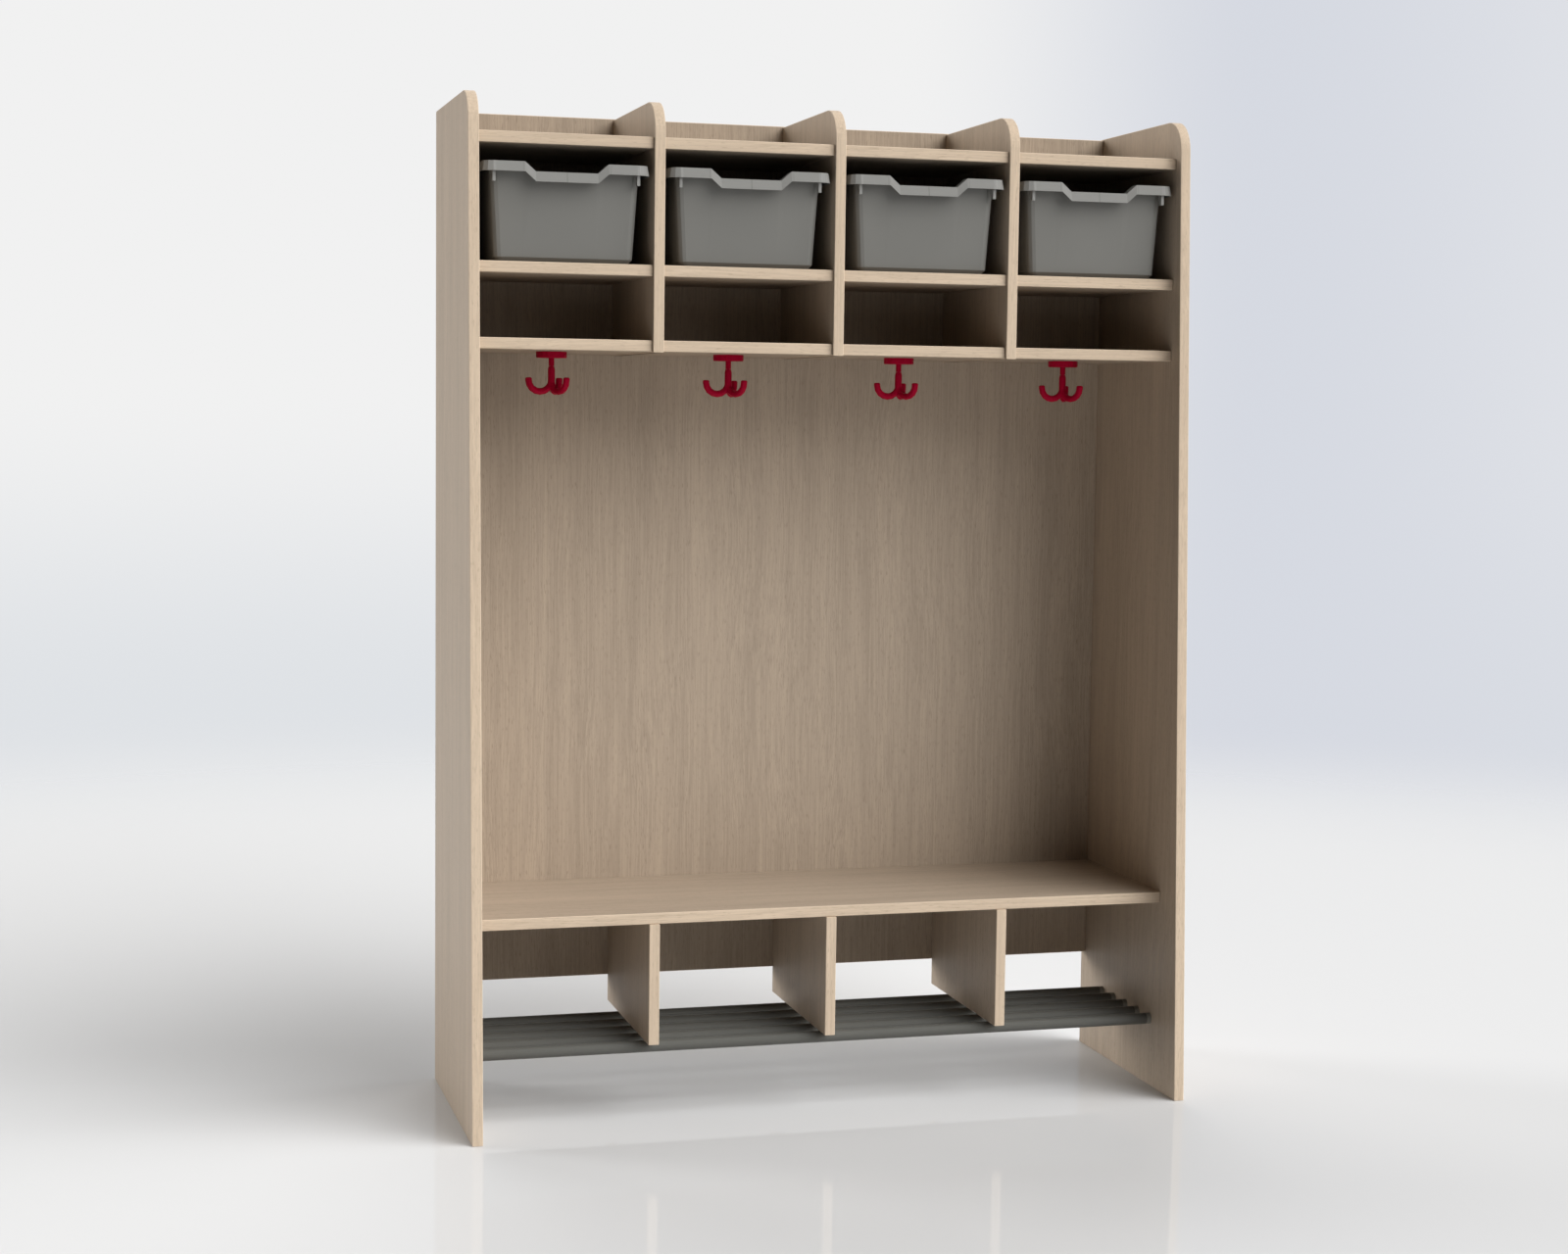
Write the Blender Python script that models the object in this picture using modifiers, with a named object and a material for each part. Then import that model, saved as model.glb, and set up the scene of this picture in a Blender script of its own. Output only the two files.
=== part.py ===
"""School cloakroom locker: a four-bay unit of beech-faced boards.

From the floor up it has a shoe rack of five round tubes, a bench, an open coat
space with a red triple hook in each bay, a row of pigeonholes, a row of bays
that each hold a lift-out tray, and an open top shelf. The side panels stand on
the floor and their front edges lean back towards the top.

Lengths are in metres. X runs across the unit, -Y is the front, +Z is up, and
the origin is on the floor under the middle of the unit.
"""

import math

import bmesh
import bpy
from mathutils import Matrix, Vector

# Boards
board = 0.020
shelf_board = 0.0205
bench_board = 0.0208
back_board = 0.0225
edge_round = 0.0010
corner_radius = 0.060
corner_steps = 8
bay_count = 4

# Clearances: the seam between pieces that touch, the overrun of a cut, and the
# distance under which two points of one mesh are the same point
seam = 0.0003
overrun = 0.002
same_point = 0.00003

# Edges that turn more than this are drawn sharp
sharp_angle = math.radians(40)
tray_sharp_angle = math.radians(30)

# Trays, one to a bay
tray_width = 0.312
tray_depth = 0.372
tray_height = 0.1778
tray_wall = 0.0022
tray_skirt = 0.018
tray_skirt_flare = 0.0036
tray_flange = 0.0130
tray_front_flange = 0.0195
tray_side_draft = 0.0105
tray_end_draft = 0.0070
tray_base_curve = 0.007
tray_rim_corner = 0.022
tray_wall_corner = 0.0115
tray_foot_corner = 0.011
tray_corner_steps = 3
grip_floor_width = 0.1144
grip_mouth_width = 0.1535
grip_drop = 0.0172
lug_from_side = 0.02325
lug_width = 0.0055
lug_length = 0.011
lug_drop = 0.0362
lug_from_rim = 0.0065
tray_rib = 0.0015
tray_rib_drop = 0.012
tray_rib_from_grip = 0.0033
tray_side_gap = 0.0065
tray_back_gap = 0.0065
tray_headroom = 0.0337

# Heights of the clear spaces, from the floor up
rack_height = 0.135
shoe_space = 0.2302
back_drop = 0.1769
coat_space = 1.0450
pigeonhole_space = 0.1172
top_space = 0.0685
divider_drop = 0.0015
side_rise = 0.0045
back_rise = 0.0020

# Set-backs of the front edges, from the foot of the side panels' front edge
front_lean = 0.0834
divider_set_back = 0.0109
shelf_set_back = 0.0077
tray_lead = 0.0053
bench_set_back = 0.0898
lower_divider_set_back = 0.0863

# Shoe rack
tube_count = 5
tube_radius = 0.0112
tube_wall = 0.0015
tube_steps = 18
rack_front = 0.1277
rack_rear = 0.1206
plug_head = 0.009
plug_stub = 0.014
plug_spigot_radius = 0.006
plug_spigot = 0.011
plug_steps = 12

# Triple hooks
hook_spacing = 0.3433
hook_set_back = 0.255
hook_stud_radius = 0.0024
hook_stud = 0.013
hook_plate_radius = 0.0293
hook_plate = 0.0118
hook_plate_round = 0.0015
hook_neck_radius = 0.0054
hook_neck = 0.0150
hook_shoulder = 0.0055
hook_sleeve_radius = 0.0068
hook_sleeve = 0.0370
hook_pin_radius = 0.0028
hook_pin = 0.0200
hook_catch_radius = 0.0038
hook_catch = 0.0030
hook_play = 0.0005
hook_arm_radius = 0.0064
hook_arm_bend = 0.0217
hook_arm_rise = 0.0048
hook_tip_round = 0.0018
hook_tip_share = 0.68
hook_arm_start_share = 0.5
hook_first_arm = math.radians(180)
hook_arm_count = 3
hook_arm_steps = 8
hook_steps = 16

# Hidden joinery: dowels glued into one board and seated in its neighbour, and screws
dowel_radius = 0.004
dowel_in_face_share = 0.42
dowel_edge_share = 0.14
back_dowel_count = 3
joinery_sides = 6
screw_radius = 0.0022
screw_head_radius = 0.0043
screw_head = 0.0026
screw_length = 0.048
screw_sunk = 0.0004

# Widths worked out from the trays
bay_width = tray_width + 2 * tray_side_gap
unit_width = bay_count * bay_width + (bay_count + 1) * board
inner_width = unit_width - 2 * board
bay_pitch = bay_width + board

# Heights worked out from the clear spaces
tube_top = rack_height + tube_radius
bench_underside = tube_top + shoe_space
bench_top = bench_underside + bench_board
lower_shelf_underside = bench_top + coat_space
lower_shelf_top = lower_shelf_underside + shelf_board
tray_shelf_underside = lower_shelf_top + pigeonhole_space
tray_shelf_top = tray_shelf_underside + shelf_board
top_shelf_underside = tray_shelf_top + tray_height + tray_headroom
top_shelf_top = top_shelf_underside + shelf_board
divider_foot = lower_shelf_underside - divider_drop
divider_top = top_shelf_top + top_space
side_height = divider_top + side_rise
back_top = divider_top + back_rise
back_foot = bench_underside - back_drop

# Depths worked out from the set-backs, before the unit is centred on its origin
divider_front = front_lean + divider_set_back
shelf_front = divider_front + shelf_set_back
tray_front = divider_front - tray_lead
back_front = tray_front + tray_depth + tray_back_gap
side_depth = back_front + back_board
mid_depth = side_depth / 2
tube_pitch = (side_depth - rack_front - rack_rear) / (tube_count - 1)
dowel_in_face = board * dowel_in_face_share

# Colours as linear values: RGB, roughness, metallic
beech = ((0.52, 0.40, 0.28), 0.55, 0.0)
tube_grey = ((0.10, 0.10, 0.098), 0.35, 0.6)
plug_grey = ((0.09, 0.09, 0.088), 0.5, 0.0)
tray_grey = ((0.33, 0.32, 0.30), 0.4, 0.0)
hook_red = ((0.32, 0.004, 0.012), 0.35, 0.0)
zinc = ((0.55, 0.55, 0.56), 0.35, 1.0)


def clear_scene():
    for item in list(bpy.data.objects):
        bpy.data.objects.remove(item, do_unlink=True)


def new_collection(name):
    collection = bpy.data.collections.new(name)
    bpy.context.scene.collection.children.link(collection)
    return collection


def new_material(name, look):
    colour, roughness, metallic = look
    material = bpy.data.materials.new(name)
    material.use_nodes = True
    shader = material.node_tree.nodes["Principled BSDF"]
    shader.inputs["Base Color"].default_value = (*colour, 1.0)
    shader.inputs["Roughness"].default_value = roughness
    shader.inputs["Metallic"].default_value = metallic
    material.diffuse_color = (*colour, 1.0)
    return material


def add_node(name, mesh, look, location=(0, 0, 0)):
    """A piece of the unit as its own object; copies of one mesh share its material."""
    item = bpy.data.objects.new(name, mesh)
    item.location = location
    parts.objects.link(item)
    if not mesh.materials:
        mesh.materials.append(new_material(name + "_finish", look))
    return item


def depth_at(set_back):
    """World Y of a place measured back from the foot of the side panels."""
    return set_back - mid_depth


def bay_centre(bay):
    return (bay - (bay_count - 1) / 2) * bay_pitch


def divider_centre(index):
    return (index - (bay_count - 2) / 2) * bay_pitch


def evaluated_mesh(item):
    """The object's mesh with its modifiers, or its curve, worked out."""
    graph = bpy.context.evaluated_depsgraph_get()
    return bpy.data.meshes.new_from_object(item.evaluated_get(graph))


def weld(mesh):
    shape = bmesh.new()
    shape.from_mesh(mesh)
    bmesh.ops.remove_doubles(shape, verts=shape.verts, dist=same_point)
    bmesh.ops.recalc_face_normals(shape, faces=shape.faces)
    shape.to_mesh(mesh)
    shape.free()


def smooth(mesh, angle=sharp_angle):
    mesh.shade_smooth()
    mesh.set_sharp_from_angle(angle=angle)


def box_mesh(name, low, high):
    """A box between two corners, round the origin of its own mesh."""
    size = Vector(high) - Vector(low)
    shape = bmesh.new()
    bmesh.ops.create_cube(shape, size=1, matrix=Matrix.Diagonal((*size, 1)))
    mesh = bpy.data.meshes.new(name)
    shape.to_mesh(mesh)
    shape.free()
    return mesh


def box_board(name, low, high):
    """A straight board with its edges eased."""
    centre = (Vector(low) + Vector(high)) / 2
    item = add_node(name, box_mesh(name, low, high), beech, centre)
    bevel = item.modifiers.new("eased_edges", "BEVEL")
    bevel.width = edge_round
    bevel.segments = 1
    bevel.limit_method = "ANGLE"
    return item


def fillet(before, corner, after, radius, steps):
    """Points of the arc that rounds one corner of an outline."""
    back = (before - corner).normalized()
    ahead = (after - corner).normalized()
    half_angle = back.angle(ahead) / 2
    centre = corner + (back + ahead).normalized() * (radius / math.sin(half_angle))
    start = corner + back * (radius / math.tan(half_angle)) - centre
    end = corner + ahead * (radius / math.tan(half_angle)) - centre
    points = []
    for step in range(steps + 1):
        points.append(centre + start.slerp(end, step / steps).normalized() * radius)
    return points


def outline_board(name, outline, centre_x):
    """A board sawn to an outline of (depth, height) points, with eased edges."""
    curve = bpy.data.curves.new(name, "CURVE")
    curve.dimensions = "2D"
    curve.fill_mode = "BOTH"
    curve.extrude = board / 2 - edge_round
    curve.bevel_depth = edge_round
    curve.bevel_resolution = 0
    curve.offset = -edge_round
    spline = curve.splines.new("POLY")
    spline.points.add(len(outline) - 1)
    for point, (depth, height) in zip(spline.points, outline):
        point.co = (depth, height, 0, 1)
    spline.use_cyclic_u = True
    flat = bpy.data.objects.new(name + "_outline", curve)
    parts.objects.link(flat)
    mesh = evaluated_mesh(flat)
    bpy.data.objects.remove(flat)
    weld(mesh)
    item = add_node(name, mesh, beech)
    upright = Matrix(((0, 0, 1), (1, 0, 0), (0, 1, 0))).to_4x4()
    item.matrix_world = Matrix.Translation((centre_x, 0, 0)) @ upright
    return item


def towards(direction):
    """A rotation that turns +Z to a direction."""
    return Vector(direction).to_track_quat("Z", "Y").to_matrix().to_4x4()


def rod_mesh(name, rods, sides):
    """Plain rods in one mesh: each has a start, a direction, a radius and a length."""
    shape = bmesh.new()
    for start, direction, radius, length in rods:
        middle = Vector(start) + Vector(direction) * (length / 2)
        place = Matrix.Translation(middle) @ towards(direction)
        bmesh.ops.create_cone(
            shape, cap_ends=True, segments=sides, radius1=radius, radius2=radius, depth=length, matrix=place
        )
    mesh = bpy.data.meshes.new(name)
    shape.to_mesh(mesh)
    shape.free()
    return mesh


def turned_mesh(name, profile, steps):
    """A profile of (radius, height) points, outer side downwards, turned round Z."""
    mesh = bpy.data.meshes.new(name + "_profile")
    points = [(radius, 0, height) for radius, height in profile]
    edges = [(index, index + 1) for index in range(len(points) - 1)]
    mesh.from_pydata(points, edges, [])
    item = bpy.data.objects.new(name + "_profile", mesh)
    parts.objects.link(item)
    screw = item.modifiers.new("turned", "SCREW")
    screw.axis = "Z"
    screw.steps = steps
    screw.render_steps = steps
    screw.use_merge_vertices = True
    screw.merge_threshold = same_point
    turned = evaluated_mesh(item)
    bpy.data.objects.remove(item)
    turned.name = name
    weld(turned)
    smooth(turned)
    return turned


def copies_mesh(name, mesh, places):
    """Copies of one closed mesh, one at each placing matrix, as separate solids."""
    shape = bmesh.new()
    for place in places:
        copy = mesh.copy()
        copy.transform(place)
        shape.from_mesh(copy)
        bpy.data.meshes.remove(copy)
    group = bpy.data.meshes.new(name)
    shape.to_mesh(group)
    shape.free()
    smooth(group)
    return group


def change(item, mesh, operation):
    """Cuts or joins an object with another mesh that is given in world space."""
    tool = bpy.data.objects.new(item.name + "_" + operation.lower(), mesh)
    tool.display_type = "WIRE"
    tool.hide_render = True
    cutters.objects.link(tool)
    boolean = item.modifiers.new(operation.lower(), "BOOLEAN")
    boolean.operation = operation
    boolean.solver = "EXACT"
    boolean.object = tool


def drilled(start, direction, radius, depth):
    """A hole's rod: it starts outside the face and ends at the hole's floor."""
    way = Vector(direction)
    return (Vector(start) - way * overrun, way, radius + seam, depth + overrun)


def dowel(start, direction, face_gap, depth):
    """A dowel's rod, from inside its own board to just short of its hole's floor."""
    way = Vector(direction)
    return (Vector(start) - way * overrun, way, dowel_radius, overrun + face_gap + depth - seam)


def drill(item, holes, sides):
    change(item, rod_mesh(item.name + "_holes", holes, sides), "DIFFERENCE")


def fit_dowels(item, dowels):
    change(item, rod_mesh(item.name + "_dowels", dowels, joinery_sides), "UNION")


def spread_over(low, high, count, edge_share):
    """Evenly spread places between two ends, kept off both by a share of the span."""
    margin = (high - low) * edge_share
    span = high - low - 2 * margin
    return [low + margin + span * index / (count - 1) for index in range(count)]


def side_outline():
    """The side panel's outline: the leaning front edge and its rounded top corner."""
    foot = Vector((depth_at(0), 0))
    crown = Vector((depth_at(front_lean), side_height))
    rear = Vector((depth_at(side_depth), side_height))
    heel = Vector((depth_at(side_depth), 0))
    return [foot, *fillet(foot, crown, rear, corner_radius, corner_steps), rear, heel]


def divider_outline():
    foot = Vector((depth_at(divider_front), divider_foot))
    crown = Vector((depth_at(divider_front), divider_top))
    rear = Vector((depth_at(back_front - seam), divider_top))
    heel = Vector((depth_at(back_front - seam), divider_foot))
    return [foot, *fillet(foot, crown, rear, corner_radius, corner_steps), rear, heel]


def shelf_levels():
    """The three shelf rows: name and underside height."""
    return (
        ("top_shelf", top_shelf_underside),
        ("tray_shelf", tray_shelf_underside),
        ("lower_shelf", lower_shelf_underside),
    )


def shelf_dowel_depths():
    return spread_over(depth_at(shelf_front), depth_at(back_front), 2, dowel_edge_share)


def shelf_dowel_places():
    """(depth, height) of the dowels at each end of the shelves of one bay."""
    places = []
    for _, underside in shelf_levels():
        places += [(depth, underside + shelf_board / 2) for depth in shelf_dowel_depths()]
    return places


def bench_dowel_places():
    depths = spread_over(depth_at(bench_set_back), depth_at(back_front), 2, dowel_edge_share)
    return [(depth, bench_underside + bench_board / 2) for depth in depths]


def back_dowel_places():
    heights = spread_over(back_foot, back_top, back_dowel_count, dowel_edge_share)
    return [(depth_at(back_front + back_board / 2), height) for height in heights]


def lower_divider_dowel_depths():
    return spread_over(depth_at(lower_divider_set_back), depth_at(back_front), 2, dowel_edge_share)


def tube_depths():
    return [depth_at(rack_front + tube_pitch * index) for index in range(tube_count)]


def divider_screw_heights():
    """Screws into each full-height divider: over the top shelf and between the lower two."""
    return ((top_shelf_top + divider_top) / 2, (lower_shelf_top + tray_shelf_underside) / 2)


def lower_divider_screw_height():
    return bench_underside - back_drop / 2


def side_panels():
    """Side panels stand on the floor and carry everything between them."""
    for name, hand in (("left_side", -1), ("right_side", 1)):
        panel = outline_board(name, side_outline(), hand * (unit_width - board) / 2)
        inner_face = hand * inner_width / 2
        places = shelf_dowel_places() + bench_dowel_places() + back_dowel_places()
        holes = [
            drilled((inner_face, depth, height), (hand, 0, 0), dowel_radius, dowel_in_face)
            for depth, height in places
        ]
        drill(panel, holes, joinery_sides)
        bores = [
            drilled((inner_face, depth, rack_height), (hand, 0, 0), plug_spigot_radius, plug_spigot)
            for depth in tube_depths()
        ]
        change(panel, rod_mesh(name + "_bores", bores, plug_steps), "DIFFERENCE")


def upper_dividers():
    """Full-height dividers of the shelf part, with the shelves' dowel holes on both faces."""
    for index in range(bay_count - 1):
        x = divider_centre(index)
        divider = outline_board(f"upper_divider_{index + 1}", divider_outline(), x)
        holes = []
        for depth, height in shelf_dowel_places():
            for hand in (-1, 1):
                start = (x - hand * board / 2, depth, height)
                holes.append(drilled(start, (hand, 0, 0), dowel_radius, dowel_in_face))
        drill(divider, holes, joinery_sides)
        cut_screw_holes(divider, [(x, height) for height in divider_screw_heights()])


def end_dowels(centre_x, half_width, places):
    """Dowels out of both ends of a board that lies between two upright ones."""
    return [
        dowel((centre_x + hand * half_width, depth, height), (hand, 0, 0), seam, dowel_in_face)
        for depth, height in places
        for hand in (-1, 1)
    ]


def shelves():
    """Each row has one board to a bay, set a little behind the divider's edge."""
    half = bay_width / 2 - seam
    for row, underside in shelf_levels():
        for bay in range(bay_count):
            x = bay_centre(bay)
            low = (x - half, depth_at(shelf_front), underside)
            high = (x + half, depth_at(back_front - seam), underside + shelf_board)
            shelf = box_board(f"{row}_{bay + 1}", low, high)
            places = [(depth, underside + shelf_board / 2) for depth in shelf_dowel_depths()]
            fit_dowels(shelf, end_dowels(x, half, places))
            if row == "lower_shelf":
                stud = (hook_x(bay), depth_at(hook_set_back), underside)
                drill(shelf, [drilled(stud, (0, 0, 1), hook_stud_radius, hook_stud)], hook_steps)


def back_panel():
    """The back hangs between the sides and stops short of the floor."""
    half = inner_width / 2 - seam
    low = (-half, depth_at(back_front), back_foot)
    high = (half, depth_at(side_depth), back_top)
    panel = box_board("back_panel", low, high)
    fit_dowels(panel, end_dowels(0, half, back_dowel_places()))
    cut_screw_holes(panel, back_screw_places())


def bench():
    half = inner_width / 2 - seam
    low = (-half, depth_at(bench_set_back), bench_underside)
    high = (half, depth_at(back_front - seam), bench_top)
    seat = box_board("bench", low, high)
    fit_dowels(seat, end_dowels(0, half, bench_dowel_places()))
    holes = []
    for index in range(bay_count - 1):
        for depth in lower_divider_dowel_depths():
            start = (divider_centre(index), depth, bench_underside)
            holes.append(drilled(start, (0, 0, 1), dowel_radius, dowel_in_face))
    drill(seat, holes, joinery_sides)


def lower_dividers():
    """Dividers of the shoe space: dowelled to the bench, and standing on the tubes."""
    for index in range(bay_count - 1):
        x = divider_centre(index)
        top = bench_underside - seam
        low = (x - board / 2, depth_at(lower_divider_set_back), tube_top + seam)
        high = (x + board / 2, depth_at(back_front - seam), top)
        divider = box_board(f"lower_divider_{index + 1}", low, high)
        dowels = [
            dowel((x, depth, top), (0, 0, 1), seam, dowel_in_face) for depth in lower_divider_dowel_depths()
        ]
        fit_dowels(divider, dowels)
        cut_screw_holes(divider, [(x, lower_divider_screw_height())])


def screw_profile(grow, past_head):
    """A countersunk screw, head up at height zero; a hole for it is this, grown."""
    shank = screw_radius + grow
    return [
        (0, past_head),
        (screw_head_radius + grow, past_head),
        (screw_head_radius + grow, -screw_sunk - grow),
        (shank, -screw_sunk - screw_head - grow),
        (shank, -screw_length - grow),
        (0, -screw_length - grow),
    ]


def back_screw_places():
    """(x, height) of the screws that hold the dividers to the back panel."""
    heights = (*divider_screw_heights(), lower_divider_screw_height())
    return [(divider_centre(index), height) for index in range(bay_count - 1) for height in heights]


def screw_place(x, height):
    """A screw's placing: it enters the rear of the back panel, head out."""
    return Matrix.Translation((x, depth_at(side_depth), height)) @ towards((0, 1, 0))


def cut_screw_holes(item, places):
    hole = turned_mesh("screw_hole", screw_profile(seam, overrun), joinery_sides)
    matrices = [screw_place(x, height) for x, height in places]
    change(item, copies_mesh(item.name + "_screw_holes", hole, matrices), "DIFFERENCE")


def back_screws():
    screw = turned_mesh("back_screw", screw_profile(0, -screw_sunk), joinery_sides)
    for index, (x, height) in enumerate(back_screw_places()):
        item = add_node(f"back_screw_{index + 1}", screw, zinc)
        item.matrix_world = screw_place(x, height)


def shoe_tubes():
    """Five round tubes, each held at both ends by a plug in the side panel."""
    half = inner_width / 2 - plug_head - 2 * seam
    bore = tube_radius - tube_wall
    tube = turned_mesh(
        "shoe_tube",
        [(bore, half), (tube_radius, half), (tube_radius, -half), (bore, -half), (bore, half)],
        tube_steps,
    )
    for index, depth in enumerate(tube_depths()):
        item = add_node(f"shoe_tube_{index + 1}", tube, tube_grey, (0, depth, rack_height))
        item.rotation_euler.y = math.pi / 2


def tube_plugs():
    """End plugs: a spigot in the side panel, a collar in sight, a stub in the tube."""
    stub_radius = tube_radius - tube_wall - seam
    profile = [
        (0, plug_spigot - seam),
        (plug_spigot_radius, plug_spigot - seam),
        (plug_spigot_radius, -seam),
        (tube_radius, -seam),
        (tube_radius, -seam - plug_head),
        (stub_radius, -seam - plug_head),
        (stub_radius, -seam - plug_head - plug_stub),
        (0, -seam - plug_head - plug_stub),
    ]
    plug = turned_mesh("tube_plug", profile, plug_steps)
    for side, hand in (("left", -1), ("right", 1)):
        for index, depth in enumerate(tube_depths()):
            item = add_node(f"tube_plug_{side}_{index + 1}", plug, plug_grey)
            place = Matrix.Translation((hand * inner_width / 2, depth, rack_height))
            item.matrix_world = place @ towards((hand, 0, 0))


def hook_x(bay):
    return (bay - (bay_count - 1) / 2) * hook_spacing


def hook_base_profile():
    """Stud, round plate, neck, pin and catch, down the outer side."""
    plate_foot = -seam - hook_plate
    neck_foot = plate_foot - hook_neck
    pin_foot = neck_foot - hook_pin
    return [
        (0, hook_stud - seam),
        (hook_stud_radius, hook_stud - seam),
        (hook_stud_radius, -seam),
        (hook_plate_radius, -seam),
        (hook_plate_radius, plate_foot + hook_plate_round),
        (hook_plate_radius - hook_plate_round, plate_foot),
        (hook_neck_radius, plate_foot),
        (hook_neck_radius, neck_foot),
        (hook_pin_radius, neck_foot),
        (hook_pin_radius, pin_foot),
        (hook_catch_radius, pin_foot),
        (hook_catch_radius, pin_foot - hook_catch),
        (0, pin_foot - hook_catch),
    ]


def hook_bases():
    base = turned_mesh("hook_base", hook_base_profile(), hook_steps)
    for bay in range(bay_count):
        place = (hook_x(bay), depth_at(hook_set_back), lower_shelf_underside)
        add_node(f"hook_base_{bay + 1}", base, hook_red, place)


def hook_sleeve_top():
    return -seam - hook_plate - hook_neck - hook_play


def hook_arm_path(turn):
    """One J-shaped arm: down the axis, round the bend and up to its tip."""
    bend_height = hook_sleeve_top() - hook_sleeve + hook_arm_radius + hook_arm_rise
    start = hook_sleeve_top() - hook_sleeve * hook_arm_start_share
    path = [(0, start, 1)]
    for step in range(hook_arm_steps + 1):
        angle = math.pi * step / hook_arm_steps
        reach = hook_arm_bend * (1 - math.cos(angle))
        path.append((reach, bend_height - hook_arm_bend * math.sin(angle), 1))
    tip = bend_height + hook_arm_rise
    path.append((2 * hook_arm_bend, tip - hook_tip_round, 1))
    path.append((2 * hook_arm_bend, tip, hook_tip_share))
    return [
        (reach * math.cos(turn), reach * math.sin(turn), height, swell) for reach, height, swell in path
    ]


def arm_mesh(turn):
    curve = bpy.data.curves.new("hook_arm", "CURVE")
    curve.dimensions = "3D"
    curve.bevel_depth = hook_arm_radius
    curve.bevel_resolution = 2
    curve.use_fill_caps = True
    path = hook_arm_path(turn)
    spline = curve.splines.new("POLY")
    spline.points.add(len(path) - 1)
    for point, (x, y, z, swell) in zip(spline.points, path):
        point.co = (x, y, z, 1)
        point.radius = swell
    item = bpy.data.objects.new("hook_arm", curve)
    parts.objects.link(item)
    mesh = evaluated_mesh(item)
    bpy.data.objects.remove(item)
    weld(mesh)
    return mesh


def hook_socket_profile():
    """The bore that the pin turns in, with the chamber behind the catch."""
    top = hook_sleeve_top()
    catch_top = -seam - hook_plate - hook_neck - hook_pin + hook_play
    catch_foot = catch_top - hook_catch - 2 * hook_play
    return [
        (0, top + overrun),
        (hook_pin_radius + hook_play, top + overrun),
        (hook_pin_radius + hook_play, catch_top),
        (hook_catch_radius + hook_play, catch_top),
        (hook_catch_radius + hook_play, catch_foot),
        (0, catch_foot),
    ]


def hook_arm_sets():
    """Three arms on one sleeve, which turns round the pin of the hook's base."""
    top = hook_sleeve_top()
    foot = top - hook_sleeve
    profile = [
        (0, top),
        (hook_neck_radius, top),
        (hook_sleeve_radius, top - hook_shoulder),
        (hook_sleeve_radius, foot),
        (0, foot),
    ]
    sleeve = turned_mesh("hook_sleeve", profile, hook_steps)
    draft = bpy.data.objects.new("hook_arms_draft", sleeve)
    parts.objects.link(draft)
    for arm in range(hook_arm_count):
        turn = hook_first_arm + 2 * math.pi * arm / hook_arm_count
        change(draft, arm_mesh(turn), "UNION")
    change(draft, turned_mesh("hook_socket", hook_socket_profile(), hook_steps), "DIFFERENCE")
    arms = evaluated_mesh(draft)
    bpy.data.objects.remove(draft)
    arms.name = "hook_arms"
    arms.materials.clear()
    weld(arms)
    smooth(arms)
    for bay in range(bay_count):
        place = (hook_x(bay), depth_at(hook_set_back), lower_shelf_underside)
        add_node(f"hook_arms_{bay + 1}", arms, hook_red, place)


def grip_share(x):
    """How far the grip's dip has come down at a place across the tray: 0 to 1."""
    ramp = (grip_mouth_width - grip_floor_width) / 2
    return min(1, max(0, (grip_mouth_width / 2 - abs(x)) / ramp))


def grip_places():
    half_floor = grip_floor_width / 2
    half_mouth = grip_mouth_width / 2
    return [-half_mouth, -half_floor, half_floor, half_mouth]


def tray_ring(half_width, half_depth, radius):
    """A rounded rectangle, front side first, with the grip's four places on both ends."""
    places = grip_places()
    ring = [(x, -half_depth) for x in places]
    for quarter in range(4):
        side_x = 1 if quarter in (0, 1) else -1
        side_y = 1 if quarter in (1, 2) else -1
        centre = (side_x * (half_width - radius), side_y * (half_depth - radius))
        for step in range(tray_corner_steps + 1):
            angle = math.pi / 2 * (quarter - 1 + step / tray_corner_steps)
            ring.append((centre[0] + radius * math.cos(angle), centre[1] + radius * math.sin(angle)))
        if quarter == 1:
            ring += [(x, half_depth) for x in reversed(places)]
    return ring


def tray_sections():
    """The tray's surface from its floor to the hem of its rim, as lofted sections.

    Each section has half its width and depth, its corner radius, its height, the
    share of the grip's dip that it follows, and how far in it moves for that dip,
    so that the leaning end walls stay flat.
    """
    half_width = tray_width / 2
    half_depth = tray_depth / 2
    rim_width = half_width - tray_skirt_flare
    rim_depth = half_depth - tray_skirt_flare
    mouth_width = rim_width - tray_flange - tray_wall
    mouth_depth = rim_depth - tray_front_flange - tray_wall
    foot_width = mouth_width - tray_side_draft
    foot_depth = mouth_depth - tray_end_draft
    curve = tray_base_curve
    end_lean = tray_end_draft / (tray_height - tray_wall - curve)
    return [
        (foot_width - curve, foot_depth - curve, tray_foot_corner - curve / 2, tray_wall, 0, 0),
        (foot_width, foot_depth, tray_foot_corner, tray_wall + curve, 0, 0),
        (mouth_width, mouth_depth, tray_wall_corner, tray_height, 1, end_lean),
        (rim_width, rim_depth, tray_rim_corner - tray_skirt_flare, tray_height, 1, 0),
        (half_width, half_depth, tray_rim_corner, tray_height - tray_skirt, 1, 0),
    ]


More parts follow.
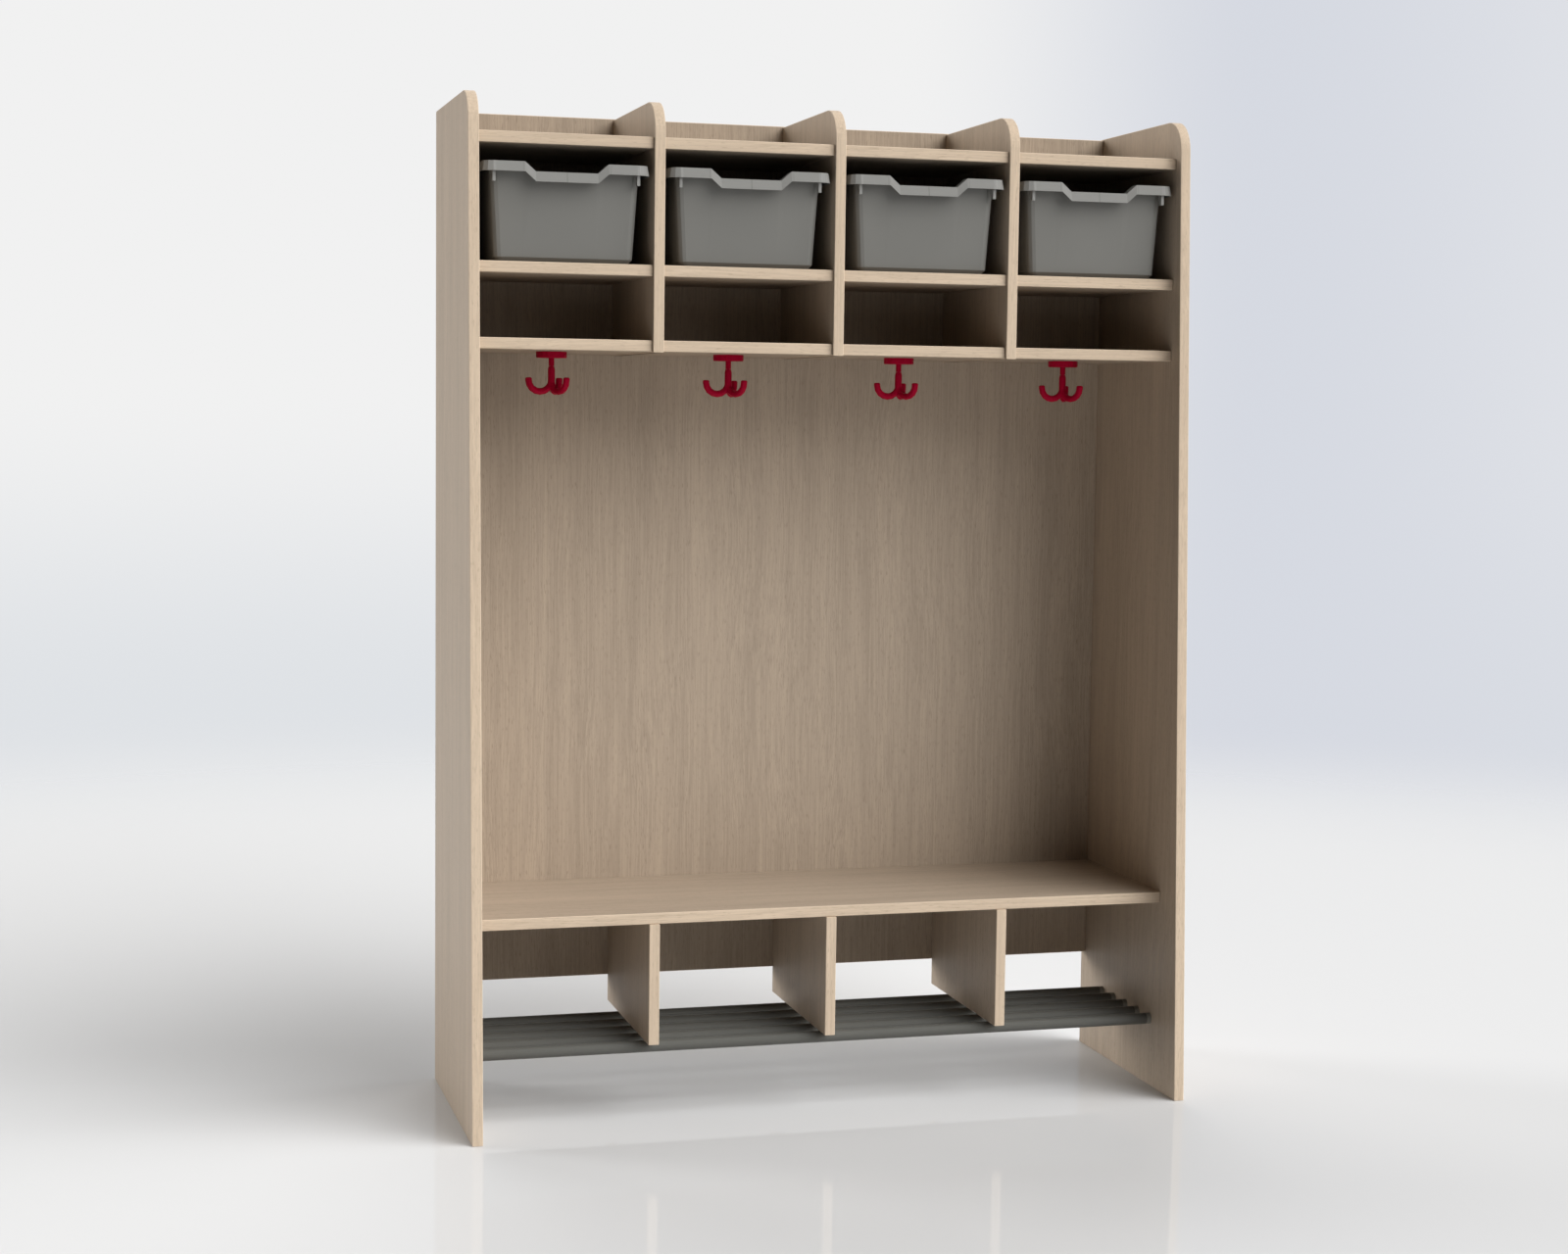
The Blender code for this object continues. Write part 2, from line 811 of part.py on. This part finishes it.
def tray_shell():
    """The tray's floor, walls, flange and skirt as one open surface."""
    shape = bmesh.new()
    rings = []
    for half_width, half_depth, radius, height, follows, lean in tray_sections():
        ring = []
        for x, y in tray_ring(half_width, half_depth, radius):
            on_end = abs(y) > half_depth - seam
            dip = grip_drop * grip_share(x) * follows if on_end else 0
            moved_in = math.copysign(dip * lean, y)
            ring.append(shape.verts.new((x, y - moved_in, height - dip)))
        rings.append(ring)
    for lower, upper in zip(rings, rings[1:]):
        for index in range(len(lower)):
            after = (index + 1) % len(lower)
            shape.faces.new((lower[index], lower[after], upper[after], upper[index]))
    shape.faces.new(reversed(rings[0]))
    mesh = bpy.data.meshes.new("tray_shell")
    shape.to_mesh(mesh)
    shape.free()
    return mesh


def tray_lugs():
    """The short lugs that hang from the rim near each corner of the tray."""
    shape = bmesh.new()
    aside = tray_width / 2 - lug_from_side
    reach = tray_depth / 2 - lug_from_rim - lug_length / 2
    top = tray_height - tray_wall / 2
    foot = tray_height - lug_drop
    size = Matrix.Diagonal((lug_width, lug_length, top - foot, 1))
    for side_x in (-1, 1):
        for side_y in (-1, 1):
            centre = (side_x * aside, side_y * reach, (top + foot) / 2)
            bmesh.ops.create_cube(shape, size=1, matrix=Matrix.Translation(centre) @ size)
    mesh = bpy.data.meshes.new("tray_lugs")
    shape.to_mesh(mesh)
    shape.free()
    return mesh


def tray_ribs():
    """Thin ribs between wall and skirt under both ends of the rim: one in the grip, one beside it."""
    rim_depth = tray_depth / 2 - tray_skirt_flare
    wall_middle = rim_depth - tray_front_flange - tray_wall / 2
    skirt_middle = rim_depth - tray_wall / 2
    slant = tray_skirt_flare * tray_rib_drop / tray_skirt
    beside = grip_mouth_width / 2 + tray_rib_from_grip
    size = Matrix.Diagonal((tray_rib, skirt_middle - wall_middle, tray_rib_drop - tray_wall / 2, 1))
    shape = bmesh.new()
    for x, dip in ((-beside, 0), (0, grip_drop), (beside, 0)):
        for side_y in (-1, 1):
            height = tray_height - dip - (tray_rib_drop + tray_wall / 2) / 2
            middle = (x, side_y * (wall_middle + skirt_middle) / 2, height)
            made = bmesh.ops.create_cube(shape, size=1, matrix=Matrix.Translation(middle) @ size)
            for corner in made["verts"]:
                if corner.co.z < height and abs(corner.co.y) > abs(middle[1]):
                    corner.co.y += side_y * slant
    mesh = bpy.data.meshes.new("tray_ribs")
    shape.to_mesh(mesh)
    shape.free()
    return mesh


def trays():
    draft = bpy.data.objects.new("tray_draft", tray_shell())
    parts.objects.link(draft)
    shell = draft.modifiers.new("wall", "SOLIDIFY")
    shell.thickness = tray_wall
    shell.offset = 1
    shell.use_even_offset = True
    change(draft, tray_lugs(), "UNION")
    change(draft, tray_ribs(), "UNION")
    tray = evaluated_mesh(draft)
    bpy.data.objects.remove(draft)
    tray.name = "tray"
    tray.materials.clear()
    weld(tray)
    smooth(tray, tray_sharp_angle)
    middle = depth_at(tray_front + tray_depth / 2)
    for bay in range(bay_count):
        place = (bay_centre(bay), middle, tray_shelf_top + seam)
        add_node(f"tray_{bay + 1}", tray, tray_grey, place)


clear_scene()
parts = new_collection("school_cloakroom_locker")
cutters = new_collection("cutters")
side_panels()
back_panel()
upper_dividers()
shelves()
bench()
lower_dividers()
shoe_tubes()
tube_plugs()
hook_bases()
hook_arm_sets()
trays()
back_screws()
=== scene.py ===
"""Looks of the school cloakroom locker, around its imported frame.

The frame's pieces keep their shapes and get their finishes here: beech laminate
with edge bands, powder-coated tubes, moulded plastic hooks, plugs and trays, and
zinc-plated screws. Lengths are in metres, with -Y the front and +Z up.
"""

import math

import bpy
from mathutils import Matrix, Vector

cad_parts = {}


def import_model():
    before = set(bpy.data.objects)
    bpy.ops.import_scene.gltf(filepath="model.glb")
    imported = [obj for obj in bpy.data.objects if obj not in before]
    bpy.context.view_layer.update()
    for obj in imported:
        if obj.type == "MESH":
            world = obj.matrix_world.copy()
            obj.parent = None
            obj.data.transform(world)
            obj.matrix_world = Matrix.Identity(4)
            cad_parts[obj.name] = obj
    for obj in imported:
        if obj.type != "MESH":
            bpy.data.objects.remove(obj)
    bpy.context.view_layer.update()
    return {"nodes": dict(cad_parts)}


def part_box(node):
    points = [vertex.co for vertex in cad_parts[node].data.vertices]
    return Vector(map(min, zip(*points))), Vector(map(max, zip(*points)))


# Camera: the photograph's viewpoint and angles
image_width = 1600
sensor_width = 36.0
focal_pixels = 2604.93
camera_place = Vector((-1.39165, -4.75655, 1.33321))
camera_yaw = math.radians(15.6747)
camera_pitch = math.radians(4.8001)
camera_roll = math.radians(0.7257)

# Colours, linear
beech_light = (0.468, 0.377, 0.289)
beech_dark = (0.360, 0.290, 0.222)
beech_fleck = (0.250, 0.197, 0.148)
band_light = (0.634, 0.507, 0.377)
band_dark = (0.515, 0.408, 0.302)
band_fleck = (0.397, 0.306, 0.216)
# Painted highlight along the rounded arris of an edge band
arris_painted_highlight = (0.680, 0.555, 0.428)
# Raw, unbanded board at the foot of the upper dividers, darkened as painted shade for the
# shadowed seam there
raw_board_and_painted_shade = (0.130, 0.090, 0.055)
tray_body = (0.166, 0.163, 0.150)
# Painted light: the rim's paler grey stands in for light through the thin plastic and its
# sheen
tray_rim_painted_light = (0.222, 0.219, 0.206)
# Painted shade: the rim's side skirts are darker, as if the dark gap behind showed
# through
tray_side_skirt_painted_shade = (0.140, 0.138, 0.128)
# Painted shadow of the ribs and painted light of the lugs, as seen through the tray's rim
rib_shadow = (0.140, 0.137, 0.127)
lug_glow = (0.290, 0.287, 0.273)
tube_grey = (0.106, 0.105, 0.095)
# The plugs' own grey, lightened as a painted reflection of the lit side panel beside them
plug_grey_and_painted_reflection = (0.220, 0.215, 0.190)
hook_red = (0.350, 0.001, 0.023)
zinc_dark = (0.48, 0.48, 0.50)
zinc_light = (0.62, 0.62, 0.63)
floor_pale = (0.675, 0.675, 0.675)
sky_neutral = (0.879, 0.879, 0.879)
sky_low = (0.740, 0.762, 0.790)
sky_cool = (0.672, 0.696, 0.757)
sky_ground = (0.850, 0.852, 0.858)
full_white = (1.0, 1.0, 1.0)

# Light: each soft lamp's heading from the front towards the right, its height and
# its spread, in degrees, and its level on a white face turned to it. The lamps
# don't show in gloss.
lamps = {
    "key_light": (42, 38, 58, 0.954),
    "side_light": (70, 45, 50, 0.453),
    "low_front_light": (35, 12, 40, 0.102),
    "left_rear_light": (-122, 11, 22, 0.625),
    "back_light": (180, 45, 50, 0.370),
}

# Beech: its patterns in cycles to a metre across the board and along it, how far
# one board's grain is moved from the next one's, and how far the grain sways
grain_line = (330.0, 3.5)
grain_broad = (30.0, 0.9)
grain_fleck = (620.0, 62.0)
grain_drift = (5.5, 1.7)
grain_shift = (0.37, 0.53, 0.71)
grain_sway = 0.050

# Beech: the shares of fine lines and broad tones in a streak, the ends of the
# streaks' and the flecks' ramps, and the strength of the flecks and of the painted
# highlight along the arris
line_share = 0.70
broad_share = 0.30
streak_ends = (0.32, 0.68)
fleck_ends = (0.58, 0.74)
fleck_strength = 0.55
arris_highlight_strength = 0.60
arris_width = 0.0011

# A face counts as square to an axis when its normal has this much along it
square_board = 0.9
square_tray = 0.973

# Finishes: a pair for roughness or shade is its least value and what the grain adds,
# a pair for a bump is its strength and its height, and a grain is in cycles to a metre
beech_roughness = (0.44, 0.14)
beech_specular = 0.30
beech_bump = (0.12, 0.0002)
zinc_roughness = (0.28, 0.20)
zinc_grain = 900.0
plastic_grain_roughness = 0.10
plastic_bump_height = 0.0001
patch_shade = (0.95, 0.10)
patch_grain = 9.0

# Plastics and powder coat: least roughness, grain in cycles to a metre, strength of
# its bump and specular level
tray_surface = (0.34, 1100.0, 0.06, 0.50)
tube_surface = (0.25, 420.0, 0.06, 0.18)
plug_surface = (0.42, 1400.0, 0.06, 0.30)
hook_surface = (0.34, 2200.0, 0.03, 0.06)

# Trays: how far the rim reaches in from the side and from the end of the tray, where its
# colour is painted paler as painted light through the thin plastic, and the painted
# shadows of ribs and painted light of lugs behind it: each mark's place aside of the
# middle, half its width, its strength and its colour
tray_side_rim = 0.0155
tray_end_rim = 0.0222
tray_rim_fade = 0.002
rim_marks = (
    (0.0, 0.0009, 0.75, rib_shadow),
    (0.08005, 0.0009, 0.35, rib_shadow),
    (0.13275, 0.0030, 0.45, lug_glow),
)

# Background: the heights (as a way's Z) and the headings (from +Y towards +X)
# between which its tone changes, how much of the cool tone goes where it fades, and
# the share of the background that shows in gloss
sky_rise = (-0.115, 0.010)
ground_ends = (-0.185, -0.125)
cool_comes = (math.radians(18), math.radians(26))
cool_fades = (math.radians(26), math.radians(38))
cool_fade_share = 0.5
cool_ends = (math.radians(80), math.radians(150))
sky_in_gloss = 0.70

# Floor: solid out to floor_solid_radius, and unseen by the camera from
# floor_clear_radius on
floor_sides = 96
floor_radius = 9.0
floor_solid_radius = 2.4
floor_clear_radius = 6.5
floor_drop = 0.0005
floor_gloss = 0.13
floor_gloss_roughness = 0.03

# The Mix node's two value sockets and its result socket, for each kind of data
mix_sockets = {"VECTOR": (4, 5, 1), "RGBA": (6, 7, 2)}


class Nodes:
    """Short forms for the node tree of one new material or world."""

    def __init__(self, owner):
        owner.use_nodes = True
        self.tree = owner.node_tree
        self.tree.nodes.clear()

    def feed(self, socket, value):
        """Links an output to a socket, or sets the socket to a value."""
        if isinstance(value, bpy.types.NodeSocket):
            self.tree.links.new(value, socket)
        elif isinstance(value, tuple) and len(value) == 3 and socket.type == "RGBA":
            socket.default_value = (*value, 1.0)
        else:
            socket.default_value = value

    def add(self, kind, inputs=None, **settings):
        """A new node with its settings, and its inputs fed by name or number."""
        node = self.tree.nodes.new(kind)
        for name, value in settings.items():
            setattr(node, name, value)
        for socket, value in (inputs or {}).items():
            self.feed(node.inputs[socket], value)
        return node

    def finish(self, shader, kind="ShaderNodeOutputMaterial"):
        """Makes the shader the surface of the material, or of a world by its kind."""
        self.add(kind, {"Surface": shader})

    def math(self, operation, first, second=0.0):
        node = self.add("ShaderNodeMath", {0: first, 1: second}, operation=operation)
        return node.outputs[0]

    def rise(self, value, base, share):
        """A base with a share of the value on top."""
        return self.math("ADD", self.math("MULTIPLY", value, share), base)

    def ramp(self, value, low, high):
        """Zero below low, one above high, smooth between them."""
        inputs = {"Value": value, "From Min": low, "From Max": high}
        node = self.add("ShaderNodeMapRange", inputs, interpolation_type="SMOOTHSTEP")
        return node.outputs["Result"]

    def vector(self, operation, first, second):
        inputs = {0: first, 1: second}
        node = self.add("ShaderNodeVectorMath", inputs, operation=operation)
        return node.outputs[0]

    def split(self, vector):
        """The X, Y and Z outputs of a vector."""
        return self.add("ShaderNodeSeparateXYZ", {0: vector}).outputs

    def mix(self, factor, first, second, kind="RGBA"):
        """From the first to the second colour, or vector, as the factor goes to one."""
        from_socket, to_socket, result = mix_sockets[kind]
        inputs = {"Factor": factor, from_socket: first, to_socket: second}
        return self.add("ShaderNodeMix", inputs, data_type=kind).outputs[result]

    def blend(self, factor, first, second):
        """From the first to the second shader as the factor goes to one."""
        inputs = {0: factor, 1: first, 2: second}
        return self.add("ShaderNodeMixShader", inputs).outputs[0]

    def place(self, scale=(1.0, 1.0, 1.0), offset=(0.0, 0.0, 0.0), bend=None):
        """Object coordinates, moved, bent where a bend is given, and then scaled."""
        coords = self.add("ShaderNodeTexCoord")
        point = self.vector("ADD", coords.outputs["Object"], offset)
        if bend is not None:
            point = self.vector("ADD", point, bend)
        return self.vector("MULTIPLY", point, scale)

    def noise(self, place, detail=2.0, roughness=0.5):
        inputs = {"Vector": place, "Scale": 1.0, "Detail": detail, "Roughness": roughness}
        return self.add("ShaderNodeTexNoise", inputs).outputs["Fac"]

    def flat_where_square(self):
        """The shading normal, but a face's own where that is nearly square to an axis."""
        geometry = self.add("ShaderNodeNewGeometry")
        own = geometry.outputs["True Normal"]
        most = 0.0
        for part in self.split(own):
            most = self.math("MAXIMUM", most, self.math("ABSOLUTE", part))
        square = self.math("GREATER_THAN", most, square_tray)
        return self.mix(square, geometry.outputs["Normal"], own, "VECTOR")

    def bump(self, surface, strength, height, normal=None):
        """A normal bumped by the surface's values, from the given one if there is one."""
        inputs = {"Strength": strength, "Distance": height, "Height": surface}
        if normal is not None:
            inputs["Normal"] = normal
        return self.add("ShaderNodeBump", inputs).outputs[0]

    def principled(self, colour, **inputs):
        """A Principled shader whose other inputs are named with underscores."""
        named = {name.replace("_", " "): value for name, value in inputs.items()}
        shader = self.add("ShaderNodeBsdfPrincipled", {"Base Color": colour, **named})
        return shader.outputs[0]


def along_axis(pair, axis):
    """Scales that stretch a pattern along one axis of the board."""
    across, along = pair
    return tuple(along if index == axis else across for index in range(3))


def beech(name, grain_axis, face_axis, seed, raw_foot_with_painted_shade):
    """Beech laminate on a board's two faces, with edge bands on its edges and a painted
    highlight along the arrises of the bands.

    The grain runs along grain_axis, and the two faces are square to face_axis. When
    the foot is raw, the lower end has no band: it has the colour of raw board, darkened
    further as painted shade for the shadowed seam where it meets the shelf.
    """
    low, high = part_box(name)
    material = bpy.data.materials.new(name + "_beech")
    n = Nodes(material)
    offset = tuple(seed * step for step in grain_shift)

    def pattern(scales, bend=None, **settings):
        return n.noise(n.place(along_axis(scales, grain_axis), offset, bend), **settings)

    sway = n.math("MULTIPLY", pattern(grain_drift, detail=1.0), grain_sway)
    line = pattern(grain_line, sway, detail=3.0, roughness=0.7)
    fine = n.math("MULTIPLY", line, line_share)
    broad = n.math("MULTIPLY", pattern(grain_broad, sway), broad_share)
    streak = n.ramp(n.math("ADD", fine, broad), *streak_ends)
    spot = n.ramp(pattern(grain_fleck, detail=1.0), *fleck_ends)
    fleck = n.math("MULTIPLY", spot, fleck_strength)
    face = n.mix(fleck, n.mix(streak, beech_dark, beech_light), beech_fleck)
    band = n.mix(fleck, n.mix(streak, band_dark, band_light), band_fleck)

    coords = n.add("ShaderNodeTexCoord").outputs
    place = n.split(coords["Object"])
    middle = (low[face_axis] + high[face_axis]) / 2
    half = (high[face_axis] - low[face_axis]) / 2
    from_middle = n.math("ABSOLUTE", n.math("SUBTRACT", place[face_axis], middle))
    # A painted highlight on the edge band next to each face, along its rounded arris
    on_arris = n.math("GREATER_THAN", from_middle, half - arris_width)
    band = n.mix(n.math("MULTIPLY", on_arris, arris_highlight_strength), band, arris_painted_highlight)
    normal = n.split(coords["Normal"])
    # The foot is raw board, darkened further as painted shade for the seam
    if raw_foot_with_painted_shade:
        on_foot = n.math("LESS_THAN", normal["Z"], -square_board)
        band = n.mix(on_foot, band, raw_board_and_painted_shade)
    turned = n.math("ABSOLUTE", normal[face_axis])
    on_face = n.math("GREATER_THAN", turned, square_board)

    shader = n.principled(
        n.mix(on_face, band, face),
        Roughness=n.rise(line, *beech_roughness),
        Specular_IOR_Level=beech_specular,
        Normal=n.bump(n.math("SUBTRACT", line, fleck), *beech_bump),
    )
    n.finish(shader)
    return material


def patchy(n, colour):
    """A colour that is a little lighter and darker from place to place."""
    patches = n.noise(n.place((patch_grain, patch_grain, patch_grain)))
    inputs = {0: colour, "Scale": n.rise(patches, *patch_shade)}
    return n.add("ShaderNodeVectorMath", inputs, operation="SCALE").outputs[0]


def moulded(n, colour, surface, normal=None):
    """A shader for plastic, or powder coat, with a fine grain."""
    roughness, grain, bump_strength, specular = surface
    fine = n.noise(n.place((grain, grain, grain)))
    return n.principled(
        colour,
        Roughness=n.rise(fine, roughness, plastic_grain_roughness),
        Specular_IOR_Level=specular,
        Normal=n.bump(fine, bump_strength, plastic_bump_height, normal),
    )


def plastic(name, colour, surface):
    material = bpy.data.materials.new(name)
    n = Nodes(material)
    n.finish(moulded(n, patchy(n, colour), surface))
    return material


def tray_plastic(node):
    """Grey plastic for a tray, with its rim painted paler as painted light through the
    thin plastic, and painted shadows of ribs and painted light of lugs seen through it.
    """
    low, high = (Vector(corner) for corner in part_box(node))
    middle = (low + high) / 2
    half = (high - low) / 2
    material = bpy.data.materials.new(node + "_plastic")
    n = Nodes(material)
    place = n.split(n.place(offset=tuple(-middle)))
    aside = n.math("ABSOLUTE", place["X"])
    past_side = n.math("SUBTRACT", aside, half.x - tray_side_rim)
    past_end = n.math("SUBTRACT", n.math("ABSOLUTE", place["Y"]), half.y - tray_end_rim)
    on_rim = n.ramp(n.math("MAXIMUM", past_side, past_end), 0.0, tray_rim_fade)
    # The rim is painted paler, as painted light through the thin plastic
    rim = tray_rim_painted_light
    # Painted rib shadows and painted lug light, where ribs and lugs stand behind the rim
    for mark_place, reach, strength, tone in rim_marks:
        from_mark = n.math("ABSOLUTE", n.math("SUBTRACT", aside, mark_place))
        on_mark = n.math("LESS_THAN", from_mark, reach)
        rim = n.mix(n.math("MULTIPLY", on_mark, strength), rim, tone)
    # The side skirts get painted shade, darker as for the dark gap behind them
    on_side = n.math("GREATER_THAN", past_side, past_end)
    rim = n.mix(on_side, rim, tray_side_skirt_painted_shade)
    colour = n.mix(on_rim, patchy(n, tray_body), rim)
    n.finish(moulded(n, colour, tray_surface, n.flat_where_square()))
    return material


def zinc():
    material = bpy.data.materials.new("screw_zinc_plate")
    n = Nodes(material)
    fine = n.noise(n.place((zinc_grain, zinc_grain, zinc_grain)))
    shader = n.principled(
        n.mix(fine, zinc_dark, zinc_light),
        Metallic=1.0,
        Roughness=n.rise(fine, *zinc_roughness),
    )
    n.finish(shader)
    return material


def dress(name, material):
    """Gives a frame node its finish through its material slots."""
    for slot in frame["nodes"][name].material_slots:
        slot.material = material


def dress_boards():
    across, deep, upright = 0, 1, 2
    boards = [("left_side", upright, across), ("right_side", upright, across)]
    boards += [("back_panel", upright, deep), ("bench", across, upright)]
    for index in (1, 2, 3):
        boards.append((f"upper_divider_{index}", upright, across))
        boards.append((f"lower_divider_{index}", upright, across))
    for row in ("top_shelf", "tray_shelf", "lower_shelf"):
        for bay in (1, 2, 3, 4):
            boards.append((f"{row}_{bay}", across, upright))
    for seed, (name, grain_axis, face_axis) in enumerate(boards):
        # The upper dividers' feet are raw board with painted shade
        raw_foot_with_painted_shade = name.startswith("upper_divider")
        dress(name, beech(name, grain_axis, face_axis, seed, raw_foot_with_painted_shade))


def dress_the_rest():
    finishes = {
        "shoe_tube": plastic("tube_powder_coat", tube_grey, tube_surface),
        # The plugs' colour holds a painted reflection of the side panel
        "tube_plug": plastic("plug_plastic", plug_grey_and_painted_reflection, plug_surface),
        "hook": plastic("hook_plastic", hook_red, hook_surface),
        "back_screw": zinc(),
    }
    for name in frame["nodes"]:
        for start, material in finishes.items():
            if name.startswith(start):
                dress(name, material)
        if name.startswith("tray_") and "shelf" not in name:
            dress(name, tray_plastic(name))


def floor():
    """A pale, faintly glossy floor that fades into the background far from the unit."""
    bpy.ops.mesh.primitive_circle_add(
        vertices=floor_sides, radius=floor_radius, fill_type="NGON"
    )
    ground = bpy.context.object
    ground.name = "studio_floor"
    ground.location.z = -floor_drop
    material = bpy.data.materials.new("studio_floor_finish")
    n = Nodes(material)
    coords = n.add("ShaderNodeTexCoord")
    inputs = {0: coords.outputs["Object"]}
    length = n.add("ShaderNodeVectorMath", inputs, operation="LENGTH").outputs["Value"]
    away = n.ramp(length, floor_solid_radius, floor_clear_radius)
    seen = n.add("ShaderNodeLightPath").outputs["Is Camera Ray"]
    matt = n.principled(floor_pale, Specular_IOR_Level=0.0)
    inputs = {"Color": full_white, "Roughness": floor_gloss_roughness}
    gloss = n.add("ShaderNodeBsdfAnisotropic", inputs).outputs[0]
    clear = n.add("ShaderNodeBsdfTransparent").outputs[0]
    glossed = n.blend(floor_gloss, matt, gloss)
    n.finish(n.blend(n.math("MULTIPLY", away, seen), glossed, clear))
    ground.data.materials.append(material)


def world():
    """A pale background, cooler low down and to the right.

    It is seen, directly and in gloss, but doesn't light the object.
    """
    scene_world = bpy.data.worlds.new("studio")
    bpy.context.scene.world = scene_world
    n = Nodes(scene_world)
    way = n.split(n.add("ShaderNodeTexCoord").outputs["Generated"])
    heading = n.math("ARCTAN2", way["X"], way["Y"])
    above = n.ramp(way["Z"], *sky_rise)
    above_ground = n.ramp(way["Z"], *ground_ends)
    faded = n.math("MULTIPLY", n.ramp(heading, *cool_fades), cool_fade_share)
    stay = n.math("SUBTRACT", 1.0, faded)
    stay = n.math("MULTIPLY", stay, n.math("SUBTRACT", 1.0, n.ramp(heading, *cool_ends)))
    cool = n.math("MULTIPLY", n.ramp(heading, *cool_comes), stay)
    tone = n.mix(cool, n.mix(above, sky_low, sky_neutral), sky_cool)
    tone = n.mix(above_ground, sky_ground, tone)
    path = n.add("ShaderNodeLightPath").outputs
    dimmed = n.math("MULTIPLY", path["Is Glossy Ray"], 1.0 - sky_in_gloss)
    strength = n.math("SUBTRACT", 1.0, dimmed)
    shown = n.add("ShaderNodeBackground", {"Color": tone, "Strength": strength})
    dark = n.add("ShaderNodeBackground", {"Strength": 0.0})
    seen = n.math("MAXIMUM", path["Is Camera Ray"], path["Is Glossy Ray"])
    seen = n.math("MAXIMUM", seen, path["Is Transmission Ray"])
    sky = n.blend(seen, dark.outputs[0], shown.outputs[0])
    n.finish(sky, "ShaderNodeOutputWorld")


def soft_light(name, heading, height, spread, level):
    """A far, wide lamp that lights a white face turned to it at its level."""
    lamp = bpy.data.lights.new(name, "SUN")
    lamp.angle = math.radians(spread)
    lamp.energy = level * math.pi
    item = bpy.data.objects.new(name, lamp)
    bpy.context.scene.collection.objects.link(item)
    heading, height = math.radians(heading), math.radians(height)
    across = math.cos(height)
    way = Vector(
        (math.sin(heading) * across, -math.cos(heading) * across, math.sin(height))
    )
    item.rotation_euler = way.to_track_quat("Z", "Y").to_euler()
    item.visible_glossy = False


def lights():
    for name, values in lamps.items():
        soft_light(name, *values)


def camera():
    lens = bpy.data.cameras.new("photo_camera")
    lens.sensor_width = sensor_width
    lens.lens = focal_pixels / image_width * sensor_width
    item = bpy.data.objects.new("photo_camera", lens)
    bpy.context.scene.collection.objects.link(item)
    ahead = Vector(
        (
            math.sin(camera_yaw) * math.cos(camera_pitch),
            math.cos(camera_yaw) * math.cos(camera_pitch),
            -math.sin(camera_pitch),
        )
    )
    right = Vector((math.cos(camera_yaw), -math.sin(camera_yaw), 0.0))
    up = right.cross(ahead)
    side = right * math.cos(camera_roll) + up * math.sin(camera_roll)
    top = up * math.cos(camera_roll) - right * math.sin(camera_roll)
    turn = Matrix((side, top, -ahead)).transposed().to_4x4()
    item.matrix_world = Matrix.Translation(camera_place) @ turn
    bpy.context.scene.camera = item


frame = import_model()
camera()
dress_boards()
dress_the_rest()
floor()
world()
lights()
bpy.context.scene.view_settings.view_transform = "Standard"
